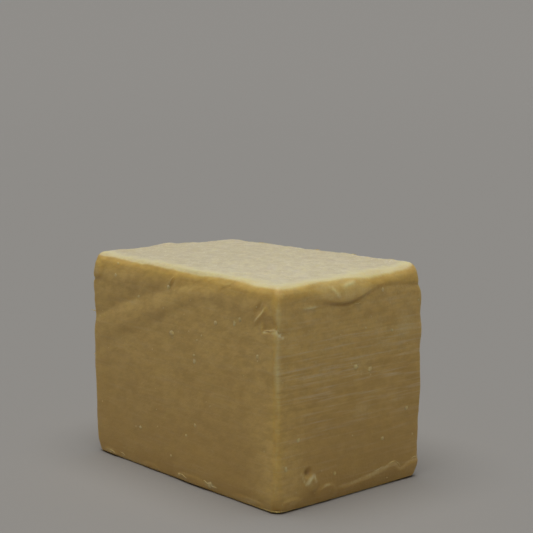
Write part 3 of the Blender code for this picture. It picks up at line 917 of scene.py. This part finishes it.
CRUMB_SQUEEZED, CRUMB_UNEVEN = (0.7, 1.25), 0.2
CRUMB_FLAT, CRUMB_SUNK, CRUMB_GROWN = 0.17, -0.03, 1.5
CRUMB_PALE, CRUMB_SCATTER = 0.28, 0.0003


def ball_grid(sides, rings):
    """A ball's points on a grid of angle and ring, its two poles, and the triangles that close it."""
    ring = np.pi * np.arange(1, rings) / rings
    turn = 2 * np.pi * np.arange(sides) / sides
    t, r = np.meshgrid(turn, ring)
    body = np.stack([np.cos(t) * np.sin(r), np.sin(t) * np.sin(r), np.cos(r)], axis=-1)
    points = np.concatenate([body.reshape(-1, 3), [[0, 0, 1], [0, 0, -1]]])
    number = np.arange((rings - 1) * sides).reshape(rings - 1, sides)
    after = np.roll(number, -1, axis=1)
    upper, lower = (number[:-1], after[:-1]), (number[1:], after[1:])
    first = np.stack([upper[0], lower[0], lower[1]], axis=-1).reshape(-1, 3)
    second = np.stack([upper[0], lower[1], upper[1]], axis=-1).reshape(-1, 3)
    north, south = len(points) - 2, len(points) - 1
    cap = np.stack([np.full(sides, north), number[0], after[0]], axis=-1)
    foot = np.stack([np.full(sides, south), after[-1], number[-1]], axis=-1)
    return points, np.concatenate([first, second, cap, foot])


def crumbs_at(places, out, sizes, seed):
    """Uneven balls: one ball's points scaled, jittered and flattened towards each place's way out."""
    random = np.random.default_rng(seed)
    ball, triangles = ball_grid(CRUMB_SIDES, CRUMB_RINGS)
    points = np.repeat(ball[None], len(places), axis=0)
    points = points * random.uniform(*CRUMB_SQUEEZED, (len(places), 1, 3))
    points = points * (1 + CRUMB_UNEVEN * random.uniform(-1, 1, points.shape[:2] + (1,)))
    along_out = (points * out[:, None]).sum(axis=2, keepdims=True)
    points = points - along_out * out[:, None] * (1 - CRUMB_FLAT)
    points = points * sizes[:, None, None] + (places + out * (CRUMB_SUNK * sizes)[:, None])[:, None]
    numbers = triangles[None] + len(ball) * np.arange(len(places))[:, None, None]
    return points.reshape(-1, 3), numbers.reshape(-1, 3)


long_places = np.array(CRUMBS_ON_LONG_FACE)
end_places = np.array(CRUMBS_ON_END_FACE)
random = np.random.default_rng(21)
stray_up = random.uniform(STRAY_FROM_FOOT, HEIGHT - STRAY_FROM_TOP, STRAY_CRUMBS)
stray_share = random.uniform(-STRAY_ALONG, STRAY_ALONG, STRAY_CRUMBS)
stray_side = random.integers(0, 4, STRAY_CRUMBS)
stray_x = np.select(
    [stray_side == 0, stray_side == 1, stray_side == 2],
    [stray_share * LENGTH, np.full(STRAY_CRUMBS, LENGTH / 2), stray_share * LENGTH],
    -LENGTH / 2,
)
stray_y = np.select(
    [stray_side == 0, stray_side == 1, stray_side == 2],
    [np.full(STRAY_CRUMBS, -DEPTH / 2), stray_share * DEPTH, np.full(STRAY_CRUMBS, DEPTH / 2)],
    stray_share * DEPTH,
)
on_box = np.concatenate(
    [
        np.stack([long_places[:, 0], np.full(len(long_places), -DEPTH / 2), long_places[:, 1]], axis=1),
        np.stack([np.full(len(end_places), LENGTH / 2), end_places[:, 0], end_places[:, 1]], axis=1),
        np.stack([stray_x, stray_y, stray_up], axis=1),
    ]
)
crumb_sizes = np.concatenate(
    [long_places[:, 2], end_places[:, 2], random.uniform(STRAY_SMALLEST, STRAY_LARGEST, STRAY_CRUMBS)]
)
crumb_places, crumb_out = worn_block(on_box)
crumb_points, crumb_faces = crumbs_at(crumb_places, crumb_out, crumb_sizes * CRUMB_GROWN, 22)
crumb_skin = cheddar_material("crumb", CRUMB_SCATTER)
crumbs = piece_of(
    "crumbs",
    (crumb_points - CENTRE) * METRES,
    crumb_faces,
    crumb_skin,
    {"pale": np.full(len(crumb_points), CRUMB_PALE), "deep": np.zeros(len(crumb_points))},
)
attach(crumbs, "root")


# Slivers. The blade drew thin threads and curls of cheese out of the torn places and the
# edges, and smeared small burrs along the foot. Each is a closed tapering thread.

# A start and an end on one face, the thickest half of it, and how far its end stands off.
LONG_FACE_SLIVERS = (
    (53.2, 71.5, 59.8, 72.3, 0.3, 0.5),
    (57.0, 71.2, 61.0, 72.9, 0.22, 0.7),
    (-7.0, 81.6, -4.6, 85.6, 0.2, 0.2),
    (-51.0, 2.6, -46.0, 1.8, 0.2, 0.1),
    (-43.0, 3.0, -39.0, 2.2, 0.18, 0.1),
    (1.0, 3.4, 6.0, 2.4, 0.2, 0.1),
    (16.0, 4.0, 20.0, 3.2, 0.24, 0.2),
    (19.0, 3.0, 25.0, 2.6, 0.22, 0.1),
)
END_FACE_SLIVERS = (
    (-39.9, 72.4, -36.6, 69.7, 0.24, 0.3),
    (1.2, 79.3, 4.2, 78.9, 0.18, 0.2),
    (13.0, 7.2, 19.0, 8.3, 0.14, 0.0),
    (21.0, 8.9, 25.8, 9.4, 0.2, 0.2),
    (25.8, 9.2, 29.0, 6.4, 0.18, 0.1),
    (35.0, 8.4, 39.6, 9.0, 0.18, 0.2),
)
LEFT_FACE_SLIVERS = ((-37.6, 62.8, -38.9, 63.4, 0.17, 2.6), (-38.0, 44.6, -39.4, 43.2, 0.2, 0.8))
BACK_RIM_SLIVERS = (
    (-2.0, 37.6, 0.6, 39.4, 0.2, 0.5),
    (21.4, 37.8, 23.6, 39.2, 0.24, 0.5),
    (43.2, 38.0, 46.0, 39.4, 0.2, 0.4),
    (-38.0, 36.0, -34.6, 37.4, 0.18, 0.2),
)
SLIVER_STEPS, SLIVER_SIDES, SLIVER_FLAT = 16, 6, 0.7
SLIVER_WOBBLE, SLIVER_WOBBLES, SLIVER_TIP, SLIVER_SWELL, SLIVER_PALE = 0.14, 8, 0.05, 0.7, 0.28


def on_face(shapes, corner):
    """Straight paths on one face of the plain box with a small sway, their thickness and lift.

    The corner has nan in the two places that a path fills.
    """
    shapes = np.array(shapes)
    t = np.linspace(0, 1, SLIVER_STEPS)
    sway = SLIVER_WOBBLE * np.sin(SLIVER_WOBBLES * t + np.arange(len(shapes))[:, None])
    places = np.tile(corner, (len(shapes), SLIVER_STEPS, 1))
    first, second = np.flatnonzero(np.isnan(corner))
    places[:, :, first] = shapes[:, :1] * (1 - t) + shapes[:, 2:3] * t
    places[:, :, second] = shapes[:, 1:2] * (1 - t) + shapes[:, 3:4] * t + sway
    return places, shapes[:, 4], shapes[:, 5:] * t**2


def threads_along(paths, way_out, thick):
    """Closed threads: rings round each path, thickest between its ends as a sine's power."""
    tangent = np.gradient(paths, axis=1)
    across = np.cross(tangent, way_out)
    across /= np.linalg.norm(across, axis=2, keepdims=True)
    t = np.linspace(0, 1, SLIVER_STEPS)
    half = thick[:, None] * (SLIVER_TIP + np.sin(np.pi * t) ** SLIVER_SWELL)
    turn = 2 * np.pi * np.arange(SLIVER_SIDES) / SLIVER_SIDES
    flat, tall = np.cos(turn)[:, None], SLIVER_FLAT * np.sin(turn)[:, None]
    ring = across[:, :, None] * flat + way_out[:, :, None] * tall
    points = paths[:, :, None] + ring * half[:, :, None, None]
    number = np.arange(len(paths) * SLIVER_STEPS * SLIVER_SIDES).reshape(points.shape[:3])
    near, far = number[:, :-1], number[:, 1:]
    sides = np.stack([near, far, np.roll(far, -1, axis=2), np.roll(near, -1, axis=2)], axis=-1)
    first, last = number[:, 0], number[:, -1]
    start_caps = (first[:, [0, 1, 2, 3]], first[:, [0, 3, 4, 5]])
    end_caps = (last[:, [3, 2, 1, 0]], last[:, [5, 4, 3, 0]])
    return points.reshape(-1, 3), np.concatenate([sides.reshape(-1, 4), *start_caps, *end_caps])


faces_of_slivers = (
    (LONG_FACE_SLIVERS, (np.nan, -DEPTH / 2, np.nan)),
    (END_FACE_SLIVERS, (LENGTH / 2, np.nan, np.nan)),
    (LEFT_FACE_SLIVERS, (-LENGTH / 2, np.nan, np.nan)),
    (BACK_RIM_SLIVERS, (np.nan, np.nan, HEIGHT)),
)
sliver_places, sliver_thick, sliver_lift = (
    np.concatenate(found) for found in zip(*(on_face(*each) for each in faces_of_slivers))
)
on_cheese, out_of_cheese = worn_block(sliver_places.reshape(-1, 3))
sliver_out = out_of_cheese.reshape(sliver_places.shape)
sliver_paths = on_cheese.reshape(sliver_places.shape) + sliver_out * sliver_lift[:, :, None]
sliver_points, sliver_faces = threads_along(sliver_paths, sliver_out, sliver_thick)
sliver_looks = {
    "pale": np.full(len(sliver_points), SLIVER_PALE),
    "deep": np.zeros(len(sliver_points)),
}
slivers = piece_of("slivers", (sliver_points - CENTRE) * METRES, sliver_faces, crumb_skin, sliver_looks)
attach(slivers, "root")


# The floor is a plain pale sheet that curves up far away, and the light is a wide soft one
# high in front, with an even, dimmer light from all round.

FLOOR_PROFILE = ((0, 0), (2.5, 0), (3.6, 0.03), (4.8, 0.16), (6.0, 0.5), (7.2, 1.1), (8.4, 2.0))
FLOOR_SIDES, FLOOR_RINGS, FLOOR_HOLE = 96, 60, 0.01
FLOOR_COLOUR, FLOOR_ROUGHNESS = (0.365, 0.35, 0.328, 1), 0.8
SUN_STRENGTH, SUN_WIDE, SUN_AZIMUTH, SUN_HEIGHT = 2.0, np.radians(55), np.radians(22), np.radians(84)
ROUND_COLOUR, ROUND_STRENGTH = (0.98, 0.99, 1.0, 1), 0.085

floor_look = bpy.data.materials.new("floor")
floor_look.use_nodes = True
floor_look.node_tree.nodes["Principled BSDF"].inputs["Base Color"].default_value = FLOOR_COLOUR
floor_look.node_tree.nodes["Principled BSDF"].inputs["Roughness"].default_value = FLOOR_ROUGHNESS
turn = np.linspace(0, 2 * np.pi, FLOOR_SIDES, endpoint=False)
reach = np.linspace(FLOOR_HOLE, FLOOR_PROFILE[-1][0], FLOOR_RINGS)[:, None]
floor_xyz = (np.cos(turn) * reach, np.sin(turn) * reach, through(FLOOR_PROFILE, reach))
floor_points = np.stack(np.broadcast_arrays(*floor_xyz), axis=-1)
number = np.arange(floor_points[..., 0].size).reshape(floor_points.shape[:2])
after = np.roll(number, -1, axis=1)
floor_quads = np.stack([number[:-1], number[1:], after[1:], after[:-1]], axis=-1).reshape(-1, 4)
floor_middle = number[:1, :: FLOOR_SIDES // 4]
floor_quads = np.concatenate([floor_quads, floor_middle])
floor = piece_of("floor", floor_points.reshape(-1, 3), floor_quads, floor_look)


def way_to(azimuth, height):
    """The unit vector towards a place this far round from -Y to +X and this high, both as angles."""
    level = np.cos(height)
    return Vector((np.sin(azimuth) * level, -np.cos(azimuth) * level, np.sin(height)))


sun = bpy.data.lights.new("soft_light", "SUN")
sun.energy, sun.angle = SUN_STRENGTH, SUN_WIDE
sun_object = bpy.data.objects.new("soft_light", sun)
sun_object.rotation_euler = way_to(SUN_AZIMUTH, SUN_HEIGHT).to_track_quat("Z", "Y").to_euler()
bpy.context.scene.collection.objects.link(sun_object)

world = bpy.data.worlds.new("round_light")
world.use_nodes = True
world.node_tree.nodes["Background"].inputs["Color"].default_value = ROUND_COLOUR
world.node_tree.nodes["Background"].inputs["Strength"].default_value = ROUND_STRENGTH
bpy.context.scene.world = world
bpy.context.scene.view_settings.view_transform = "Standard"


# The camera stands where the photograph was taken from: low, at the block's near edge.

VIEW_AZIMUTH, VIEW_ELEVATION, VIEW_LENS, VIEW_FILM = np.radians(48.8), np.radians(8.7), 93.2, 36.0
VIEW_DISTANCE, VIEW_TARGET, VIEW_CLIP = 601.6, np.array([-5.7, 13.1, 84.3]), (0.01, 100)

view_back = way_to(VIEW_AZIMUTH, VIEW_ELEVATION)
view_right = Vector((np.cos(VIEW_AZIMUTH), np.sin(VIEW_AZIMUTH), 0))
camera_data = bpy.data.cameras.new("camera")
camera_data.lens, camera_data.sensor_width = VIEW_LENS, VIEW_FILM
camera_data.clip_start, camera_data.clip_end = VIEW_CLIP
camera = bpy.data.objects.new("camera", camera_data)
stand = Matrix((view_right, view_back.cross(view_right), view_back)).transposed().to_4x4()
stand.translation = Vector((VIEW_TARGET - CENTRE) * METRES) + view_back * VIEW_DISTANCE * METRES
camera.matrix_world = stand
bpy.context.scene.collection.objects.link(camera)
bpy.context.scene.camera = camera
